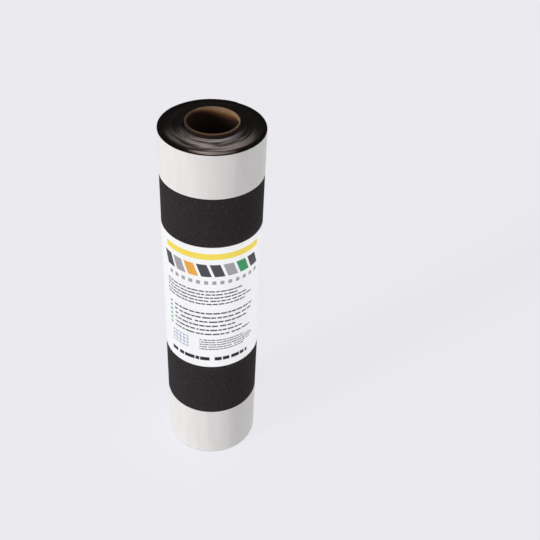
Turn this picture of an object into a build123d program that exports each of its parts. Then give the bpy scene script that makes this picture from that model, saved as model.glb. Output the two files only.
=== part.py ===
from build123d import *
import os
from math import acos, degrees, pi, radians, sin, sqrt

# A roll of self-adhering roofing felt, standing on its end. The sheet is wound on a cardboard
# tube, with its underside outwards, so the release films along its two edges show as bands.
# A printed paper label is wrapped round the middle. All sizes are in millimetres and degrees,
# +Z is up, and the origin is on the tube's axis, on the floor.

# The felt sheet
sheet_width = 914.4
sheet_length = 20320.0
sheet_thickness = 1.45
tail_angle = 62.0
rim_chamfer = 0.4
turn_groove_width = 0.4
turn_groove_depth = 0.5

# The cardboard tube
core_bore = 108.0
core_wall = 3.5
core_rim_round = 0.8

# The roll has slid open a little: its outer turns are level, the turns inside them stand higher
# the nearer they are to the tube, and the tube stands highest. It is as long as the sheet is wide.
level_turns = 10
inner_turn_rise = 4.5
core_rise = 13.5

# The release films on the outermost turn
film_thickness = 0.15
film_inset = 1.5
top_film_width = 102.6
bottom_film_width = 157.4

# The paper label
label_height = 363.0
label_lift = 20.0
label_thickness = 0.15
label_overlap = 28.0
label_seam_angle = 40.0

# The wound radius follows from the sheet's length, as the end face has the area of the sheet's edge
core_radius = core_bore / 2 + core_wall
roll_radius = sqrt(core_radius**2 + sheet_length * sheet_thickness / pi)
turn_count = int((roll_radius - core_radius) / sheet_thickness)
raised_turns = turn_count - level_turns
raised_radius = core_radius + raised_turns * sheet_thickness

# Where the films' inner edges lie, above the floor
bottom_film_top = film_inset + bottom_film_width
top_film_bottom = sheet_width - film_inset - top_film_width

# The outermost turn is a spiral of four arcs. Their centres are the corners of a small square,
# so each arc runs smoothly into the next and the spiral closes in by one thickness a turn.
arcs_per_turn = 4
arc_angle = 360 / arcs_per_turn
arc_step = sheet_thickness / arcs_per_turn
centre_distance = arc_step / (2 * sin(radians(arc_angle / 2)))
first_arc_radius = roll_radius + arc_step * (arcs_per_turn - 1) / 2


def towards(angle, distance=1.0):
    """The point at that distance from the axis, in that direction."""
    return Vector(distance, 0, 0).rotate(Axis.Z, angle)


def arc_centre(index):
    """The corner that arc number index turns about, square to the direction of the arc's middle."""
    return towards(tail_angle + arc_angle * (index + 1 / 2) - 90, centre_distance)


def arc_radius(index):
    return first_arc_radius - arc_step * index


def turn_arc(index, offset, start=0.0, span=arc_angle):
    """Arc number index of the outermost turn, or a part of it, at a distance outside the felt."""
    radius = arc_radius(index) + offset
    return CenterArc(arc_centre(index), radius, tail_angle + arc_angle * index + start, span)


def turn_outline(offset):
    """The arcs of the outermost turn, from the tail round to the foot of its step."""
    return [turn_arc(index, offset) for index in range(arcs_per_turn)]


def strip_face(arcs_inside, arcs_outside):
    """A thin band between two runs of arcs, closed across both ends."""
    start = Line(arcs_inside[0] @ 0, arcs_outside[0] @ 0)
    end = Line(arcs_inside[-1] @ 1, arcs_outside[-1] @ 1)
    return make_face([*arcs_inside, *arcs_outside, start, end])


def between(face, bottom, top):
    """The upright solid on that face from one height to another."""
    return Pos(0, 0, bottom) * extrude(face, amount=top - bottom)


def turn_rise(turn):
    """How far that turn, counted from the tube, has slid up."""
    return inner_turn_rise * max(0, 1 - turn / raised_turns)


def turned_blank():
    """The wound body, with a groove between neighbouring turns on both ends, left too wide."""
    reach = roll_radius + sheet_thickness
    half_groove = turn_groove_width / 2
    bottom = [(core_radius, turn_rise(0))]
    top = [(core_radius, sheet_width + turn_rise(0))]
    for turn in range(1, turn_count):
        groove = core_radius + turn * sheet_thickness
        higher = turn_rise(turn - 1)
        lower = turn_rise(turn)
        bottom.append((groove - half_groove, higher))
        bottom.append((groove, higher + turn_groove_depth))
        bottom.append((groove + half_groove, lower))
        top.append((groove - half_groove, sheet_width + higher))
        top.append((groove, sheet_width + lower - turn_groove_depth))
        top.append((groove + half_groove, sheet_width + lower))
    bottom.append((reach, 0))
    top.append((reach, sheet_width))
    profile = Plane.XZ * make_face(Polyline(*bottom, *reversed(top), close=True))
    return revolve(profile, Axis.Z)


def make_felt():
    """The turned body, cut to the outline of the outermost turn with its rims eased."""
    arcs = turn_outline(0)
    step = Line(arcs[-1] @ 1, arcs[0] @ 0)
    outline = between(make_face([*arcs, step]), 0, sheet_width)
    rims = outline.edges().filter_by(GeomType.CIRCLE)
    outline = chamfer(rims, rim_chamfer)
    raised = between(make_face(Circle(raised_radius)), 0, sheet_width + inner_turn_rise)
    return turned_blank() & (outline + raised)


def make_core():
    """The tube, with both its rims rounded."""
    tube = Cylinder(core_radius, sheet_width) - Cylinder(core_bore / 2, sheet_width)
    tube = fillet(tube.edges().filter_by(GeomType.CIRCLE), core_rim_round)
    return Pos(0, 0, core_rise + sheet_width / 2) * tube


def make_film(bottom, top):
    """The outermost turn of a release film, between two heights."""
    face = strip_face(turn_outline(0), turn_outline(film_thickness))
    return between(face, bottom, top)


def make_label():
    """A sleeve that spans the step at the tail with a straight bridge, and its glued overlap."""
    last = arcs_per_turn - 1
    bridge_angle = degrees(acos(arc_radius(last) / (arc_radius(last) + sheet_thickness)))
    under = [*turn_outline(0)[:last], turn_arc(last, 0, span=arc_angle - bridge_angle)]
    bridge = Line(under[-1] @ 1, under[0] @ 0)
    inside = make_face([*under, bridge])
    wrap = offset(inside, label_thickness) - inside
    overlap_angle = degrees(label_overlap / roll_radius)
    flap = strip_face(
        [turn_arc(0, label_thickness, label_seam_angle, overlap_angle)],
        [turn_arc(0, 2 * label_thickness, label_seam_angle, overlap_angle)],
    )
    middle = (bottom_film_top + top_film_bottom) / 2 + label_lift
    bottom = middle - label_height / 2
    top = middle + label_height / 2
    return between(wrap, bottom, top) + between(flap, bottom, top)


pieces = {
    "felt_roll": make_felt(),
    "core_tube": make_core(),
    "release_film_bottom": make_film(film_inset, bottom_film_top),
    "release_film_top": make_film(top_film_bottom, sheet_width - film_inset),
    "label_wrap": make_label(),
}

os.makedirs("parts", exist_ok=True)
for node, solid in pieces.items():
    export_step(solid, f"parts/{node}.step")
    print(node, round(solid.volume), solid.bounding_box().size)
print("roll radius", round(roll_radius, 2), "turns", turn_count)
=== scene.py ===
import math

import bpy
from mathutils import Euler, Matrix, Vector


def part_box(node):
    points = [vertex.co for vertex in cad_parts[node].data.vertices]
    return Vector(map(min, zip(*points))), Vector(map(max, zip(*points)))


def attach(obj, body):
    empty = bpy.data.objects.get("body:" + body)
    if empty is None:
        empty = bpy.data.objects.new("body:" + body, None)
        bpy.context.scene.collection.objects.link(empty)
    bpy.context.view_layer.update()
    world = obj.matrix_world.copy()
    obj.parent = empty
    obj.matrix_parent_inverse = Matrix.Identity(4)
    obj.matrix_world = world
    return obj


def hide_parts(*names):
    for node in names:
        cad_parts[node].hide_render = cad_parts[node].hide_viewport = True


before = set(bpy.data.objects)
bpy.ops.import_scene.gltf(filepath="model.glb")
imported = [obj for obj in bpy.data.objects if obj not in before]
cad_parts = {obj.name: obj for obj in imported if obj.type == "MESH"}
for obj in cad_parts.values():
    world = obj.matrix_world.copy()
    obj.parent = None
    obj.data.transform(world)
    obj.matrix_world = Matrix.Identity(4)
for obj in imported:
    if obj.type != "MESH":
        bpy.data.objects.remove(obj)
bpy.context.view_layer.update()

# A roll of self-adhering roofing felt that stands on its end. Lengths are in metres unless a name
# or note says millimetres, and the front of the roll faces -Y. The finishes work in millimetres.

mm = 0.001
mmPerMetre = 1000
quarterTurn = math.radians(90)
fullTurn = math.radians(360)


def paint(red, green, blue):  # a screen colour from 0 to 255, as Blender's linear one
    def linear(level):
        share = level / 255
        return share / 12.92 if share <= 0.04045 else ((share + 0.055) / 1.055) ** 2.4
    return (linear(red), linear(green), linear(blue), 1)


# Shader maths: a Link is an output socket, and maths on it adds the nodes

class Link:
    def __init__(self, nodes, socket):
        self.nodes = nodes
        self.socket = socket

    def math(self, operation, *values):
        return self.nodes.add("ShaderNodeMath", {"operation": operation}, dict(enumerate(values)))

    def __add__(self, other):
        return self.math("ADD", self, other)

    def __sub__(self, other):
        return self.math("SUBTRACT", self, other)

    def __rsub__(self, other):
        return self.math("SUBTRACT", other, self)

    def __mul__(self, other):
        return self.math("MULTIPLY", self, other)

    def __truediv__(self, other):
        return self.math("DIVIDE", self, other)

    def __pow__(self, other):
        return self.math("POWER", self, other)

    def __lt__(self, other):
        return self.math("LESS_THAN", self, other)

    def __gt__(self, other):
        return self.math("GREATER_THAN", self, other)

    def __abs__(self):
        return self.math("ABSOLUTE", self)

    __radd__ = __add__
    __rmul__ = __mul__

    def whole(self):
        return self.math("FLOOR", self)

    def part(self):  # what is left over past the whole number
        return self.math("FRACT", self)

    def either(self, other):
        return self.math("MAXIMUM", self, other)

    def isNumber(self, other):
        return self.math("COMPARE", self, other, 0.5)


class Nodes:
    def __init__(self, tree):
        self.tree = tree

    def add(self, kind, settings=(), sockets=(), output=0):
        made = self.tree.nodes.new(kind)
        for setting, value in dict(settings).items():
            setattr(made, setting, value)
        for key, value in dict(sockets).items():
            if isinstance(value, Link):
                self.tree.links.new(value.socket, made.inputs[key])
            else:
                made.inputs[key].default_value = value
        return Link(self, made.outputs[output])

    def vector(self, x, y, z):
        return self.add("ShaderNodeCombineXYZ", sockets={"X": x, "Y": y, "Z": z})

    def split(self, place):
        kind = "ShaderNodeSeparateXYZ"
        return [self.add(kind, sockets={"Vector": place}, output=axis) for axis in "XYZ"]

    def noise(self, place, scale, detail, roughness=0.5):
        sockets = {"Vector": place, "Scale": scale, "Detail": detail, "Roughness": roughness}
        return self.add("ShaderNodeTexNoise", sockets=sockets, output="Fac")

    def strands(self, place, scale, width):  # thin wandering lines, 1 on a line and 0 between
        fromLine = abs(self.noise(place, scale, detail=1) - 0.5)
        return 1 - self.ramp(fromLine, 0.0, width)

    def chance(self, value):  # one random level from 0 to 1 for each value
        settings = {"noise_dimensions": "1D"}
        return self.add("ShaderNodeTexWhiteNoise", settings, {"W": value}, "Value")

    def ramp(self, value, low, high):  # 0 below low and 1 above high, smooth between
        settings = {"interpolation_type": "SMOOTHSTEP"}
        sockets = {"Value": value, "From Min": low, "From Max": high}
        return self.add("ShaderNodeMapRange", settings, sockets)

    def blend(self, mask, first, second):  # first where the mask is 0, second where it is 1
        sockets = {0: mask, 6: first, 7: second}  # a Mix node's colours are 6 and 7, its result 2
        return self.add("ShaderNodeMix", {"data_type": "RGBA"}, sockets, output=2)

    def seen(self):  # 1 for the rays that show the background, 0 for those that light the roll
        rays = ("Is Camera Ray", "Is Glossy Ray", "Is Transmission Ray")
        camera, glossy, through = [self.add("ShaderNodeLightPath", output=ray) for ray in rays]
        return camera.either(glossy).either(through)


class Finish(Nodes):  # a material, with its constants set on the shader
    def __init__(self, name, constants):
        self.material = bpy.data.materials.new(name)
        self.material.use_nodes = True
        super().__init__(self.material.node_tree)
        self.shader = self.tree.nodes["Principled BSDF"]
        for socket, value in constants.items():
            self.shader.inputs[socket].default_value = value

    def feed(self, socket, link):
        self.tree.links.new(link.socket, self.shader.inputs[socket])

    def feedBump(self, height, distance, strength):
        sockets = {"Height": height, "Distance": distance, "Strength": strength}
        self.feed("Normal", self.add("ShaderNodeBump", sockets=sockets))

    def axes(self):  # the place on the object, in millimetres
        place = self.add("ShaderNodeTexCoord", output="Object")
        return [axis * mmPerMetre for axis in self.split(place)]


def fromAxis(x, y):  # how far a place is from the tube's axis
    return (x * x + y * y) ** 0.5


def fromFront(x, y):  # how far round it is from the front, in radians
    return x.math("ARCTAN2", x, 0 - y)


# Modelling: each piece starts as a small upright section; the tube, films and label are swept
# round by spins, and the sheet is drawn out flat and rolled along a spiral

weldDistance = 0.01 * mm


def deselectAll():
    bpy.ops.object.select_all(action="DESELECT")
    bpy.context.view_layer.objects.active = None


def addSection(name, inside, angle, wall, bottom, top, rounding, segments):
    # an upright rectangle from the point inside outwards, with its corners rounded, all selected
    deselectAll()
    outwards = Vector((math.cos(angle), math.sin(angle), 0))
    middle = inside + outwards * wall / 2 + Vector((0, 0, (bottom + top) / 2))
    bpy.ops.mesh.primitive_plane_add(size=1, location=middle, rotation=(quarterTurn, 0, angle))
    section = bpy.context.object
    section.name = name
    section.scale = (wall, top - bottom, 1)
    bpy.ops.object.transform_apply(location=True, rotation=True, scale=True)
    bpy.ops.object.mode_set(mode="EDIT")
    bpy.ops.mesh.select_all(action="SELECT")
    bpy.ops.mesh.bevel(offset=rounding, segments=segments, affect="VERTICES")
    bpy.ops.mesh.select_all(action="SELECT")
    return section


def sweep(centre, angle, steps):  # anticlockwise from above, on to the next section
    bpy.ops.mesh.spin(steps=steps, angle=angle, center=centre, axis=(0, 0, -1))


def closeSolid(piece, smoothAngle):
    bpy.ops.mesh.select_all(action="SELECT")
    bpy.ops.mesh.remove_doubles(threshold=weldDistance)
    bpy.ops.mesh.select_all(action="SELECT")
    bpy.ops.mesh.normals_make_consistent(inside=False)
    bpy.ops.object.mode_set(mode="OBJECT")
    bpy.ops.object.shade_smooth_by_angle(angle=smoothAngle)
    return piece


# Each piece gets a map named OFBake, laid out so that it gives most of its room to what shows. A
# box on the map is its left, bottom, right and top.

def within(box, across, up):
    left, bottom, right, top = box
    return (left + (right - left) * across, bottom + (top - bottom) * up)


def fromAbove(box, place, width):
    return within(box, 0.5 + place.x / width, 0.5 + place.y / width)


def turnFromFront(face, place):  # in radians, unbroken over each face
    middle = math.atan2(face.center.x, -face.center.y)
    turn = math.atan2(place.x, -place.y) - middle
    return middle + (turn + math.pi) % fullTurn - math.pi


def unrolled(box, face, place, low, high):  # once round, with the front in the middle
    up = (place.z - low.z) / (high.z - low.z)
    return within(box, 0.5 + turnFromFront(face, place) / fullTurn, up)


def facesOut(face):
    return face.normal.xy.dot(face.center.xy) >= 0


def addBakeMap(piece, placeOf):
    bakeMap = piece.data.uv_layers.new(name="OFBake")
    for face in piece.data.polygons:
        for corner in face.loop_indices:
            vertex = piece.data.vertices[piece.data.loops[corner].vertex_index]
            bakeMap.data[corner].uv = placeOf(face, corner, vertex.co)


def hold(piece, node):
    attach(piece, "root")
    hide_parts(node)
    print(piece.name, len(piece.data.polygons), "faces")


# The wound sheet. Its outline is a spiral of quarter arcs about the corners of a small square.

tubeLow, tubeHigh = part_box("core_tube")
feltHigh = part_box("felt_roll")[1]
tubeRadius = (tubeHigh.x - tubeLow.x) / 2
arcsPerTurn = 4

sheet = {
    "length": 20.32,
    "width": 914.4 * mm,
    "pitch": 1.45 * mm,  # from one turn to the next
    "thickness": 1.36 * mm,
    "tailAngle": math.radians(62),
    "levelTurns": 10,  # the turns inside these stand higher, like a shallow cone
    "rounding": 0.42 * mm,
    "roundingSegments": 2,
    "rounds": 3,  # each round cuts every long edge into one part more than its cuts
    "cutsPerRound": 14,
    "curveSteps": 24,
    "wander": 1.0 * mm,  # how far the cut edges stray in long waves
    "wanderLength": 0.3,
    "waves": 0.9 * mm,  # and the upper one in short waves as well
    "waveLength": 0.05,
    "evenLevel": 0.5,  # the noise level that leaves a cut edge where it is
    "raisedLevel": 0.1,  # the same for the lower one, which mostly strays up from the floor
    "cutEdgeTilt": 0.2,  # a face that looks up or down by more than this is on a cut edge
    "smoothAngle": math.radians(20),
    "feltColours": (paint(37, 33, 34), paint(56, 51, 52)),
    "fibreThinness": 0.3,  # how wide a fibre is for its length
    "bitumen": paint(14, 9, 7),
    # the colours of the streaks on the ends: pale scuffs with a painted sheen, and a cooler
    # painted sheen
    "scuffAndSheenColours": (paint(212, 193, 185), paint(168, 177, 194)),
    "streakPlace": 11.9,  # where in the noise the streaks on the ends, scuffs with a painted sheen, are taken
    "turnBox": (0.01, 0.01, 0.54, 0.69),
    "hiddenBox": (0.01, 0.72, 0.54, 0.99),
    "topBox": (0.56, 0.55, 0.99, 0.98),
    "bottomBox": (0.56, 0.08, 0.99, 0.51),
}
rollRadius = math.sqrt(tubeRadius**2 + sheet["length"] * sheet["pitch"] / math.pi)
arcStep = sheet["pitch"] / arcsPerTurn
firstRadius = rollRadius + arcStep * (arcsPerTurn - 1) / 2
levelRadius = rollRadius - sheet["levelTurns"] * sheet["pitch"]


def arcCentre(arc):
    angle = sheet["tailAngle"] + quarterTurn * (arc + 0.5) - quarterTurn
    distance = arcStep / math.sqrt(2)
    return Vector((distance * math.cos(angle), distance * math.sin(angle), 0))


def arcRadius(arc):
    return firstRadius - arcStep * arc


def onSpiral(arc, angle, offset):  # a point on that arc, at an angle past the arc's start
    direction = sheet["tailAngle"] + quarterTurn * arc + angle
    reach = arcRadius(arc) + offset
    return arcCentre(arc) + Vector((math.cos(direction), math.sin(direction), 0)) * reach


def makeSpiral(arcs):  # the path that the flat sheet is rolled along, from the tail inwards
    deselectAll()
    bpy.ops.curve.primitive_bezier_curve_add()
    spiral = bpy.context.object
    spiral.data.twist_mode = "Z_UP"
    line = spiral.data.splines[0]
    line.resolution_u = sheet["curveSteps"]
    line.bezier_points.add(arcs - 1)
    pull = 4 / 3 * math.tan(quarterTurn / 4)  # a handle's share of the radius, for a quarter arc
    rise = feltHigh.z - sheet["width"]
    for arc, point in enumerate(line.bezier_points):
        direction = sheet["tailAngle"] + quarterTurn * arc
        along = Vector((-math.sin(direction), math.cos(direction), 0))
        inwards = (levelRadius - arcRadius(arc)) / (levelRadius - tubeRadius)
        lift = Vector((0, 0, rise * max(0, inwards)))
        point.handle_left_type = point.handle_right_type = "FREE"
        point.co = onSpiral(arc, 0, 0) + lift
        point.handle_left = point.co - along * pull * arcRadius(arc - 1)
        point.handle_right = point.co + along * pull * arcRadius(arc)
    return spiral


def cutAcross(piece):  # only the long edges of the flat sheet, so that it can bend
    bpy.ops.mesh.select_mode(type="EDGE")
    for _ in range(sheet["rounds"]):
        bpy.ops.mesh.select_all(action="DESELECT")
        bpy.ops.object.mode_set(mode="OBJECT")
        for edge in piece.data.edges:
            first, second = [piece.data.vertices[index].co for index in edge.vertices]
            edge.select = abs(first.x - second.x) > sheet["thickness"]
        bpy.ops.object.mode_set(mode="EDIT")
        bpy.ops.mesh.subdivide(number_cuts=sheet["cutsPerRound"])
    bpy.ops.object.mode_set(mode="OBJECT")


def moveEdge(piece, name, isEdge, waveLength, strength, midLevel):
    chosen = [vertex.index for vertex in piece.data.vertices if isEdge(vertex.co.z)]
    piece.vertex_groups.new(name=name).add(chosen, 1, "REPLACE")
    texture = bpy.data.textures.new(name, "CLOUDS")
    texture.noise_scale = waveLength
    shift = piece.modifiers.new(name, "DISPLACE")
    shift.direction = "Z"
    shift.vertex_group = name
    shift.texture = texture
    shift.strength = strength
    shift.mid_level = midLevel
    bpy.ops.object.modifier_apply(modifier=name)


def ruffleEdges(piece):
    half = sheet["width"] / 2
    wander = (sheet["wanderLength"], sheet["wander"])
    waves = (sheet["waveLength"], sheet["waves"])
    moveEdge(piece, "topWander", lambda z: z > half, *wander, sheet["evenLevel"])
    moveEdge(piece, "topWaves", lambda z: z > half, *waves, sheet["evenLevel"])
    moveEdge(piece, "bottomWander", lambda z: z < half, *wander, sheet["raisedLevel"])


def addSheetMap(piece):  # in metres, from the tail and up
    sheetMap = piece.data.uv_layers.new(name="sheet")
    for corner in piece.data.loops:
        place = piece.data.vertices[corner.vertex_index].co
        sheetMap.data[corner.index].uv = (place.x, place.z)


def makeSheet():  # flat first, along +X from its tail, then rolled up
    wall = sheet["thickness"]
    sizes = (sheet["rounding"], sheet["roundingSegments"])
    start = Vector((0, 0, 0))
    piece = addSection("woundFelt", start, quarterTurn, wall, 0, sheet["width"], *sizes)
    arcs = int((firstRadius - wall - tubeRadius) / arcStep)
    length = sum(arcRadius(arc) for arc in range(arcs)) * quarterTurn
    bpy.ops.mesh.extrude_region_move(TRANSFORM_OT_translate={"value": (length, 0, 0)})
    bpy.ops.mesh.select_all(action="SELECT")
    bpy.ops.mesh.normals_make_consistent(inside=False)
    cutAcross(piece)
    ruffleEdges(piece)
    addSheetMap(piece)
    spiral = makeSpiral(arcs)
    bpy.context.view_layer.objects.active = piece
    roll = piece.modifiers.new("roll", "CURVE")
    roll.object = spiral
    roll.deform_axis = "POS_X"
    bpy.ops.object.modifier_apply(modifier="roll")
    bpy.data.objects.remove(spiral)
    bpy.ops.object.shade_smooth_by_angle(angle=sheet["smoothAngle"])
    return piece


def sheetPlace(finish):  # millimetres along the sheet from its tail, and up
    place = finish.add("ShaderNodeUVMap", {"uv_map": "sheet"})
    return [axis * mmPerMetre for axis in finish.split(place)[:2]]


def feltFinish():
    # fibres pressed into a flat mat, with a layer of the noise for each way that they lie
    finish = Finish("blackFelt", {"Specular IOR Level": 0.1})
    along, up = sheetPlace(finish)
    flat = finish.vector(along, up, 0)
    mottle = finish.noise(flat, scale=0.14, detail=4, roughness=0.68)
    grain = finish.noise(flat, scale=2.4, detail=3, roughness=0.65)
    thin = sheet["fibreThinness"]
    upright = finish.strands(finish.vector(along, up * thin, 1), scale=0.6, width=0.045)
    level = finish.strands(finish.vector(along * thin, up, 5), scale=0.65, width=0.045)
    aslant = finish.vector(along + up, (up - along) * thin, 9)
    rising = finish.strands(aslant, scale=0.45, width=0.05)
    aslant = finish.vector(along - up, (up + along) * thin, 13)
    falling = finish.strands(aslant, scale=0.5, width=0.05)
    fibres = upright.either(rising) * 0.6 + level.either(falling) * 0.4
    shade = finish.ramp(mottle * 0.75 + grain * 0.25 + fibres * 0.24, 0.36, 0.8)
    finish.feed("Base Color", finish.blend(shade, *sheet["feltColours"]))
    finish.feed("Roughness", 0.92 - fibres * 0.22)
    relief = fibres * 0.7 + grain * 0.5 + mottle * 0.6
    finish.feedBump(relief, distance=0.45 * mm, strength=0.7)
    return finish.material


def cutEdgeFinish():
    # the sheet's cut edges: bitumen with long pale streaks, partly scuffs and partly a painted
    # sheen, painted strongest at the front
    finish = Finish("cutEdges", {"Specular IOR Level": 0.03})
    x, y, z = finish.axes()
    radius = fromAxis(x, y)
    radii = (tubeRadius, levelRadius, rollRadius)
    tubeSide, levelSide, rollSide = [size * mmPerMetre for size in radii]
    sideways = x / radius
    forwards = (0 - y) / radius

    def ringPlace(across, around):  # how fast the noise changes across the turns and round them
        inwards = radius * across + sheet["streakPlace"]
        return finish.vector(inwards, sideways * around, forwards * around)

    along = finish.vector(sheetPlace(finish)[0], 0, 0)
    turnLines = finish.noise(along, scale=0.004, detail=3, roughness=0.6)
    bands = finish.noise(ringPlace(0.1, 1.1), scale=1.0, detail=2)
    streaks = finish.noise(ringPlace(0.22, 0.9), scale=1.0, detail=4, roughness=0.7)
    scuffsAndSheen = finish.ramp(bands * 0.35 + streaks * 0.5 + turnLines * 0.15, 0.42, 0.6)
    # the painted sheen fades towards the back, and on the outer turns it narrows to a painted
    # highlight at the front; the streaks also fade at the rim and by the tube
    front = forwards.either(0) ** 1.8
    outside = finish.ramp(radius, levelSide - 2, levelSide + 6)
    narrowFrontHighlight = finish.ramp(forwards, 0.86, 1.0)
    rim = finish.ramp(radius, rollSide - 3, rollSide - 1.6)
    nearTube = finish.ramp(radius, tubeSide + 0.5, tubeSide + 4)
    scuffsAndFrontSheen = (scuffsAndSheen * 0.92 + 0.08) * (front * 0.97 + 0.015)
    mask = scuffsAndFrontSheen * (1 - outside * (1 - narrowFrontHighlight)) * nearTube * (1 - rim)
    # near the tube the painted sheen turns a cooler grey in places
    coolSheenTint = finish.ramp(bands, 0.5, 0.62) * (1 - finish.ramp(radius, tubeSide + 4, levelSide))
    scuffAndSheenColour = finish.blend(coolSheenTint * 0.6, *sheet["scuffAndSheenColours"])
    finish.feed("Base Color", finish.blend(mask, sheet["bitumen"], scuffAndSheenColour))
    finish.feed("Roughness", 0.5 + streaks * 0.3)
    grain = finish.noise(finish.vector(x, y, z), scale=1.6, detail=3)
    finish.feedBump(grain + streaks, distance=0.4 * mm, strength=0.6)
    return finish.material


def isCutEdge(face):
    return abs(face.normal.z) > sheet["cutEdgeTilt"]


def sheetOnMap(flatPlaces):
    # both ends as seen from above, the outermost turn, and what is hidden between the turns
    turnLength = fullTurn * rollRadius

    def placeOf(face, corner, place):
        if isCutEdge(face):
            box = sheet["topBox"] if face.normal.z > 0 else sheet["bottomBox"]
            return fromAbove(box, place, 2 * (rollRadius + sheet["pitch"]))
        along, up = flatPlaces[corner]
        if facesOut(face) and flatPlaces[face.loop_start][0] < turnLength:
            return within(sheet["turnBox"], along / turnLength, up / sheet["width"])
        return within(sheet["hiddenBox"], along / sheet["length"], up / sheet["width"])
    return placeOf


woundFelt = makeSheet()
woundFelt.data.materials.append(feltFinish())
woundFelt.data.materials.append(cutEdgeFinish())
for face in woundFelt.data.polygons:
    face.material_index = 1 if isCutEdge(face) else 0
flatPlaces = [tuple(corner.uv) for corner in woundFelt.data.uv_layers["sheet"].data]
addBakeMap(woundFelt, sheetOnMap(flatPlaces))
hold(woundFelt, "felt_roll")


# The cardboard tube, wound from strips of board

tube = {
    "wall": 3.5 * mm,
    "rounding": 0.8 * mm,
    "roundingSegments": 3,
    "steps": 128,  # once round
    "rimTilt": 0.3,  # a face that looks up or down by more than this is on a rim
    "smoothAngle": math.radians(35),
    "stripHeight": 92.0,  # millimetres from one seam to the next
    "seamWidth": 1.1,  # millimetres
    "ply": 0.7,  # millimetres
    "boardColours": (paint(98, 72, 50), paint(172, 138, 108)),
    # painted shade down the bore, and the deeper painted shade below it
    "paintedBoreShade": paint(98, 62, 33),
    "deepPaintedBoreShade": paint(36, 22, 17),
    "cutRim": paint(205, 168, 134),
    # painted shade along the rim's outer edge, and painted shade on the tube's -X side
    "paintedRimShade": paint(58, 36, 22),
    "paintedSideShade": paint(44, 28, 20),
    # painted shade on the tube's outside
    "paintedOutsideShade": paint(26, 18, 14),
    "lamplight": (0.5, 0.87),  # towards the inside of the tube that stays lightest
    "insideBox": (0.01, 0.01, 0.48, 0.99),
    "outsideBox": (0.51, 0.01, 0.98, 0.45),
    "topRimBox": (0.51, 0.5, 0.98, 0.97),
    "bottomRimBox": (0.63, 0.62, 0.86, 0.85),
}


def cardboardFinish():
    finish = Finish("brownBoard", {"Specular IOR Level": 0.15})
    x, y, z = finish.axes()
    radius = fromAxis(x, y)
    outer = tubeRadius * mmPerMetre
    bore = (tubeRadius - tube["wall"]) * mmPerMetre
    climb = z / tube["stripHeight"] + fromFront(x, y) / fullTurn
    seam = 1 - finish.ramp(climb.part(), 0.0, tube["seamWidth"] / tube["stripHeight"])
    tint = finish.chance(climb.whole())
    fibres = finish.noise(finish.vector(x, y, z * 4), scale=0.8, detail=4, roughness=0.65)
    blotches = finish.noise(finish.vector(x, y, z), scale=0.06, detail=3)
    plies = radius * (fullTurn / tube["ply"])
    plyLines = plies.math("SINE", plies) * 0.5 + 0.5
    depth = tubeHigh.z * mmPerMetre - z
    rim = 1 - finish.ramp(depth, 0.4, 0.9)
    shade = fibres * 0.45 + blotches * 0.35 + tint * 0.2 - seam * 0.4 - plyLines * rim * 0.3
    board = finish.blend(finish.ramp(shade, 0.1, 0.8), *tube["boardColours"])
    # painted shade in the bore: it darkens with depth, and starts deeper down on its side towards
    # the lamplight
    towardsX, towardsY = tube["lamplight"]
    lightSide = ((x * towardsX + y * towardsY) / radius * 0.5 + 0.5) ** 6
    insideWall = radius < bore + 0.4
    shaded = (depth - 1) / (lightSide * 18 + 6)
    board = finish.blend(finish.ramp(shaded, 0.0, 0.7) * insideWall, board, tube["paintedBoreShade"])
    board = finish.blend(finish.ramp(shaded, 0.35, 1.1) * insideWall, board, tube["deepPaintedBoreShade"])
    # the cut rim is paler; painted shade darkens the rim's outer edge and the outside below it,
    # and painted shade darkens the tube on its -X side
    board = finish.blend(rim * 0.2, board, tube["cutRim"])
    paintedRimShade = finish.ramp(radius + fibres * 1.6, outer - 1.5, outer + 0.1)
    board = finish.blend(paintedRimShade * 0.75, board, tube["paintedRimShade"])
    paintedSideShade = finish.ramp((0 - x) / radius, 0.35, 0.95)
    board = finish.blend(paintedSideShade * 0.6, board, tube["paintedSideShade"])
    # painted shade on the tube's outside, from just below its rim down, where the tube stands in
    # the felt
    paintedOutsideShade = finish.ramp(depth, 0.6, 3) * (1 - insideWall)
    finish.feed("Base Color", finish.blend(paintedOutsideShade * 0.93, board, tube["paintedOutsideShade"]))
    finish.feed("Roughness", 0.75 + fibres * 0.2)
    relief = fibres * 0.4 - seam - plyLines * rim * 0.5
    finish.feedBump(relief, distance=0.35 * mm, strength=0.6)
    return finish.material


def makeTube():
    inside = Vector((tubeRadius - tube["wall"], 0, 0))
    sizes = (tube["rounding"], tube["roundingSegments"])
    piece = addSection("cardboardTube", inside, 0, tube["wall"], tubeLow.z, tubeHigh.z, *sizes)
    sweep((0, 0, 0), fullTurn, tube["steps"])
    return closeSolid(piece, tube["smoothAngle"])


def tubeOnMap(face, corner, place):
    if abs(face.normal.z) > tube["rimTilt"]:
        box = tube["topRimBox"] if face.normal.z > 0 else tube["bottomRimBox"]
        return fromAbove(box, place, 2 * tubeRadius)
    box = tube["outsideBox"] if facesOut(face) else tube["insideBox"]
    return unrolled(box, face, place, tubeLow, tubeHigh)


cardboardTube = makeTube()
addBakeMap(cardboardTube, tubeOnMap)
cardboardTube.data.materials.append(cardboardFinish())
hold(cardboardTube, "core_tube")


# The release films on the outermost turn

film = {
    "thickness": 0.15 * mm,
    "rounding": 0.06 * mm,
    "steps": 32,  # in each quarter
    "smoothAngle": math.radians(20),
    "colours": (paint(229, 227, 224), paint(235, 233, 231)),
    "outsideBox": (0.02, 0.02, 0.98, 0.7),
    "insideBox": (0.02, 0.75, 0.98, 0.98),
}
filmNodes = {"topReleaseFilm": "release_film_top", "bottomReleaseFilm": "release_film_bottom"}


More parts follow.
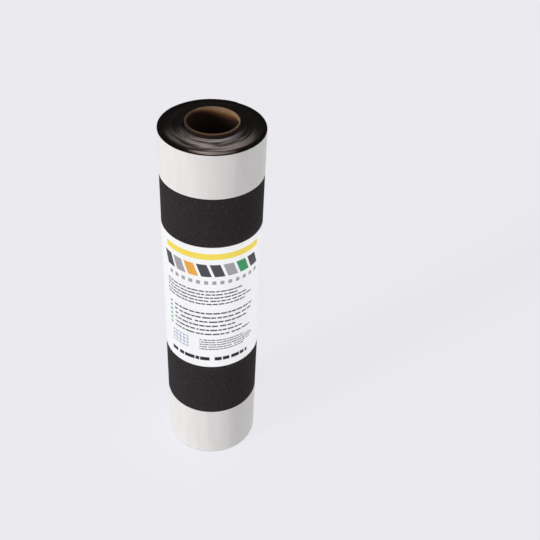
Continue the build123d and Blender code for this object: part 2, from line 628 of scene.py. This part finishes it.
def filmFinish():
    finish = Finish("whiteFilm", {"Specular IOR Level": 0.5})
    x, y, z = finish.axes()
    ripples = finish.noise(finish.vector(x, y, z * 0.12), scale=0.05, detail=3, roughness=0.55)
    crinkle = finish.noise(finish.vector(x, y, z), scale=0.35, detail=3)
    tone = finish.ramp(ripples, 0.3, 0.7)
    finish.feed("Base Color", finish.blend(tone, *film["colours"]))
    finish.feed("Roughness", 0.34 + crinkle * 0.12)
    finish.feedBump(ripples + crinkle * 0.05, distance=0.5 * mm, strength=0.4)
    return finish.material


def makeFilm(name, low, high):
    inside = onSpiral(0, 0, 0)
    wall = film["thickness"]
    piece = addSection(name, inside, sheet["tailAngle"], wall, low.z, high.z, film["rounding"], 1)
    for arc in range(arcsPerTurn):
        sweep(arcCentre(arc), quarterTurn, film["steps"])
    return closeSolid(piece, film["smoothAngle"])


def filmOnMap(low, high):
    def placeOf(face, corner, place):
        box = film["outsideBox"] if facesOut(face) else film["insideBox"]
        return unrolled(box, face, place, low, high)
    return placeOf


whiteFilm = filmFinish()
for filmName, node in filmNodes.items():
    filmLow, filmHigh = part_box(node)
    releaseFilm = makeFilm(filmName, filmLow, filmHigh)
    addBakeMap(releaseFilm, filmOnMap(filmLow, filmHigh))
    releaseFilm.data.materials.append(whiteFilm)
    hold(releaseFilm, node)


# The paper label, one strip that goes once round and is glued over its own start

labelLow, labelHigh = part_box("label_wrap")
labelHeight = labelHigh.z - labelLow.z

label = {
    "thickness": 0.15 * mm,
    "rounding": 0.06 * mm,
    "seamAngle": math.radians(40),  # past the sheet's tail
    "overlap": 28 * mm,
    "climbAngle": math.radians(1.5),  # in which the strip climbs onto its own start
    "degreesPerStep": 2.8,
    "smoothAngle": math.radians(20),
    "outsideBox": (0.02, 0.01, 0.98, 0.94),
    "insideBox": (0.02, 0.955, 0.98, 0.99),
    "printedTurn": math.radians(66),  # to either side of the front
    "printedShare": 0.35,  # of the map's width, to either side of its middle
    "paperColours": (paint(243, 243, 244), paint(247, 247, 248)),
    "seamShade": 1.6,  # millimetres
    "inks": {
        "grey": paint(74, 74, 78),
        "black": paint(34, 34, 38),
        "pale": paint(160, 160, 164),
        "yellow": paint(243, 219, 92),
        "orange": paint(234, 168, 72),
        "green": paint(62, 148, 96),
        "blue": paint(88, 100, 160),
    },
    # the print is in millimetres from the front and from the label's lower edge, and a patch is
    # its left, right, bottom and top; the left and right of tiles and squares count their steps
    "stripe": (-118, 118, 330, 346),
    "tiles": (-4.5, 3.5, 282, 316),
    "tileStep": 30,
    "tileShare": 0.78,  # of the step, and the rest is the gap
    "tileSlant": 0.35,
    "tileInks": {-3: "pale", -2: "orange", 1: "pale", 2: "green"},
    "squares": (-6, 6.5, 260, 270),
    "squareStep": 18,
    "squareShare": 0.5,
    "marks": (-112, -105, 106, 182),
    "markStep": 13,
    "markShare": 0.45,
    "grid": (-104, -58.7, 56, 90.5),
    "gridStep": 11,
    "gridLines": (0.12, 0.14),  # of the step, for the upright and the level lines
    "words": (  # an ink, a patch, the step from row to row, and the bars' height and length
        ("grey", (-118, 116, 200, 246), 9.4, 3.7, 13.0),
        ("grey", (-96, 110, 106, 182), 13.0, 4.4, 15.0),
        ("grey", (-30, 112, 58, 92), 7.4, 3.0, 9.0),
        ("black", (-108, 112, 22, 38), 16.0, 11.0, 22.0),
    ),
    "wordGap": 0.17,  # of a bar's length
    "raggedShare": 0.25,  # of the patch's width, by which a row may end early
}


def turnAlong(angle):
    return max(1, round(math.degrees(angle) / label["degreesPerStep"]))


def swing(start, end, angle):  # one step that carries the section from start to end as it turns
    chord = end - start
    sideways = Vector((-chord.y, chord.x, 0)) / 2
    sweep((start + end) / 2 + sideways / math.tan(angle / 2), angle, 1)


def makeLabel():
    wall = label["thickness"]
    seam = label["seamAngle"]
    angle = sheet["tailAngle"] + seam
    start = onSpiral(0, seam, 0)
    heights = (labelLow.z, labelHigh.z)
    piece = addSection("paperLabel", start, angle, wall, *heights, label["rounding"], 1)
    sweep(arcCentre(0), quarterTurn - seam, turnAlong(quarterTurn - seam))
    last = arcsPerTurn - 1
    for arc in range(1, last):
        sweep(arcCentre(arc), quarterTurn, turnAlong(quarterTurn))
    # a straight bridge spans the step at the sheet's tail
    bridge = math.acos(arcRadius(last) / (arcRadius(last) + sheet["pitch"]))
    sweep(arcCentre(last), quarterTurn - bridge, turnAlong(quarterTurn - bridge))
    swing(onSpiral(last, quarterTurn - bridge, 0), onSpiral(0, 0, 0), bridge)
    climb = label["climbAngle"]
    sweep(arcCentre(0), seam - climb, turnAlong(seam - climb))
    swing(onSpiral(0, seam - climb, 0), onSpiral(0, seam, wall), climb)
    flap = label["overlap"] / rollRadius
    sweep(arcCentre(0), flap, turnAlong(flap))
    return closeSolid(piece, label["smoothAngle"])


def panel(across, up, patch):
    left, right, low, high = patch
    return (across > left) * (across < right) * (up > low) * (up < high)


def wordBars(finish, across, up, patch, rowStep, barHeight, barLength):
    # rows of plain bars as long as words, with a ragged right side
    left, right, low, high = patch
    row = (up - low) / rowStep
    number = row.whole()
    bar = row.part() < barHeight / rowStep
    # the drift gives the words their lengths, and no two rows or patches are alike
    driftPlace = finish.vector(across / (barLength * 1.7), number * 7.7, low)
    drift = finish.noise(driftPlace, scale=1.0, detail=1)
    words = across / barLength + number * 0.37 + drift * 2.2
    end = right - finish.chance(number + low) * (right - left) * label["raggedShare"]
    return bar * (words.part() > label["wordGap"]) * panel(across, up, (left, end, low, high))


def printed(finish, across, up):  # each ink with its mask, in the order that they are laid down
    yield "yellow", panel(across, up, label["stripe"])
    _, _, low, high = label["tiles"]
    slanted = (across + (up - (low + high) / 2) * label["tileSlant"]) / label["tileStep"]
    number = slanted.whole()
    tile = panel(number, up, label["tiles"]) * (slanted.part() < label["tileShare"])
    yield "grey", tile
    for tileNumber, ink in label["tileInks"].items():
        yield ink, tile * number.isNumber(tileNumber)
    steps = across / label["squareStep"]
    yield "pale", panel(steps, up, label["squares"]) * (steps.part() < label["squareShare"])
    _, _, low, _ = label["marks"]
    steps = (up - low) / label["markStep"]
    yield "green", panel(across, up, label["marks"]) * (steps.part() < label["markShare"])
    left, _, low, _ = label["grid"]
    upright, level = label["gridLines"]
    column = ((across - left) / label["gridStep"]).part()
    row = ((up - low) / label["gridStep"]).part()
    yield "blue", (column < upright).either(row < level) * panel(across, up, label["grid"])
    for ink, *sizes in label["words"]:
        yield ink, wordBars(finish, across, up, *sizes)


def pastSeam(across):  # how far a place is past the glued edge on the back
    angle = sheet["tailAngle"] + label["seamAngle"] + label["overlap"] / rollRadius
    return across - math.atan2(math.cos(angle), -math.sin(angle)) * rollRadius * mmPerMetre


def labelFinish():
    finish = Finish("printedPaper", {"Specular IOR Level": 0.2})
    x, y, z = finish.axes()
    across = fromFront(x, y) * (rollRadius * mmPerMetre)
    up = z - labelLow.z * mmPerMetre
    fibres = finish.noise(finish.vector(x, y, z), scale=0.9, detail=4, roughness=0.6)
    colour = finish.blend(fibres, *label["paperColours"])
    for ink, mask in printed(finish, across, up):
        colour = finish.blend(mask, colour, label["inks"][ink])
    # the glued overlap on the back: a soft line of shade along its edge, and ripples over the glue
    past = pastSeam(across)
    shadeLine = (past > 0) * (1 - finish.ramp(past, 0.0, label["seamShade"]))
    colour = finish.blend(shadeLine * 0.4, colour, label["inks"]["grey"])
    glued = panel(past, up, (-label["overlap"] * mmPerMetre, 0, 0, labelHeight * mmPerMetre))
    ripples = finish.noise(finish.vector(past * 0.5, up, 0), scale=0.05, detail=2) * glued
    cockle = finish.noise(finish.vector(x, y, z * 0.6), scale=0.016, detail=2)
    finish.feed("Base Color", colour)
    finish.feed("Roughness", 0.5 + fibres * 0.15)
    finish.feedBump(fibres * 0.1 + ripples * 2.0 + cockle * 2.2, distance=1 * mm, strength=0.5)
    return finish.material


def labelOnMap(face, corner, place):  # the printed side gets more of the map than the bare back
    turn = turnFromFront(face, place)
    front, share = label["printedTurn"], label["printedShare"]
    if abs(turn) < front:
        across = 0.5 + turn / front * share
    else:
        rest = (abs(turn) - front) / (math.pi - front)
        across = 0.5 + math.copysign(share + rest * (0.5 - share), turn)
    box = label["outsideBox"] if facesOut(face) else label["insideBox"]
    return within(box, across, (place.z - labelLow.z) / labelHeight)


paperLabel = makeLabel()
addBakeMap(paperLabel, labelOnMap)
paperLabel.data.materials.append(labelFinish())
hold(paperLabel, "label_wrap")


# The stage: a pale floor, soft light and the camera at the photograph's angle

stage = {
    "floorSize": 40,
    "background": paint(235, 234, 239),
    "floorGlow": paint(250, 249, 254),
    "glowShare": 0.75,  # the share of the floor's look that doesn't depend on the lamps
    "horizonLight": 1.14,
    "zenithLight": 0.18,
    "weakestFrom": 0.9,  # the height, out of 1, from which the light from above is weakest
    "keyAngles": (74, 0, -58),  # degrees
    "keyStrength": 1.5,
    "keySoftness": math.radians(14),
    "labelLampAngle": math.radians(60),  # from the front round to the right
    "labelLampDistance": 2.5,
    "labelLampWidth": 0.3,
    "labelLampMargin": 8 * mm,  # past the label's edges
    "labelLampSpread": math.radians(1),
    "labelLampPower": 0.13,
}


def makeFloor():
    deselectAll()
    bpy.ops.mesh.primitive_plane_add(size=stage["floorSize"])
    floor = bpy.context.object
    floor.name = "floor"
    constants = {"Base Color": stage["background"], "Specular IOR Level": 0.0, "Roughness": 1.0}
    finish = Finish("paleFloor", constants)
    lit = Link(finish, finish.shader.outputs["BSDF"])
    glow = finish.add("ShaderNodeEmission", sockets={"Color": stage["floorGlow"]})
    x, y, _ = finish.axes()
    outsideTube = fromAxis(x, y) > tubeRadius * mmPerMetre  # no glow comes up the bore
    share = finish.seen() * outsideTube * stage["glowShare"]
    mixed = finish.add("ShaderNodeMixShader", sockets={0: share, 1: lit, 2: glow})
    finish.tree.links.new(mixed.socket, finish.tree.nodes["Material Output"].inputs["Surface"])
    floor.data.materials.append(finish.material)


def makeWorld():  # soft light that is strong near the horizon and weak from above
    world = bpy.data.worlds.new("paleRoom")
    bpy.context.scene.world = world
    world.use_nodes = True
    world.node_tree.nodes.clear()
    sky = Nodes(world.node_tree)
    height = sky.split(sky.add("ShaderNodeTexCoord", output="Generated"))[2]
    change = stage["zenithLight"] - stage["horizonLight"]
    strength = sky.ramp(height, 0.0, stage["weakestFrom"]) * change + stage["horizonLight"]
    white = (1, 1, 1, 1)
    light = sky.add("ShaderNodeBackground", sockets={"Color": white, "Strength": strength})
    shown = sky.add("ShaderNodeBackground", sockets={"Color": stage["background"]})
    mixed = sky.add("ShaderNodeMixShader", sockets={0: sky.seen(), 1: light, 2: shown})
    output = world.node_tree.nodes.new("ShaderNodeOutputWorld")
    world.node_tree.links.new(mixed.socket, output.inputs["Surface"])


def addKeyLamp():
    deselectAll()
    turns = [math.radians(angle) for angle in stage["keyAngles"]]
    bpy.ops.object.light_add(type="SUN", rotation=turns)
    lamp = bpy.context.object.data
    lamp.energy = stage["keyStrength"]
    lamp.angle = stage["keySoftness"]


def addLabelLamp():  # a level beam as high as the label, so its right side stays white too
    deselectAll()
    angle = stage["labelLampAngle"]
    distance = stage["labelLampDistance"]
    middle = (labelLow.z + labelHigh.z) / 2
    place = Vector((math.sin(angle) * distance, -math.cos(angle) * distance, middle))
    bpy.ops.object.light_add(type="AREA", location=place, rotation=(quarterTurn, 0, angle))
    bpy.context.object.visible_camera = False
    lamp = bpy.context.object.data
    lamp.shape = "RECTANGLE"
    lamp.size = stage["labelLampWidth"]
    lamp.size_y = labelHeight + 2 * stage["labelLampMargin"]
    lamp.spread = stage["labelLampSpread"]
    lamp.energy = stage["labelLampPower"]


view = {
    "photoWidth": 540,
    "focalLength": 826.7,  # photo pixels
    "place": Vector((0, -1.481, 1.774)),
    "pitch": math.radians(39.88),
    "yaw": math.radians(5.21),
    "roll": math.radians(3.42),
}


def makeCamera():
    deselectAll()
    bpy.ops.object.camera_add(location=view["place"])
    camera = bpy.context.object
    aim = Euler((quarterTurn - view["pitch"], 0, -view["yaw"])).to_matrix()
    camera.rotation_euler = (aim @ Matrix.Rotation(view["roll"], 3, "Z")).to_euler()
    camera.data.lens = view["focalLength"] / view["photoWidth"] * camera.data.sensor_width
    bpy.context.scene.camera = camera


makeFloor()
makeWorld()
addKeyLamp()
addLabelLamp()
makeCamera()
bpy.context.scene.view_settings.view_transform = "Standard"
print("stage, lights and camera done")
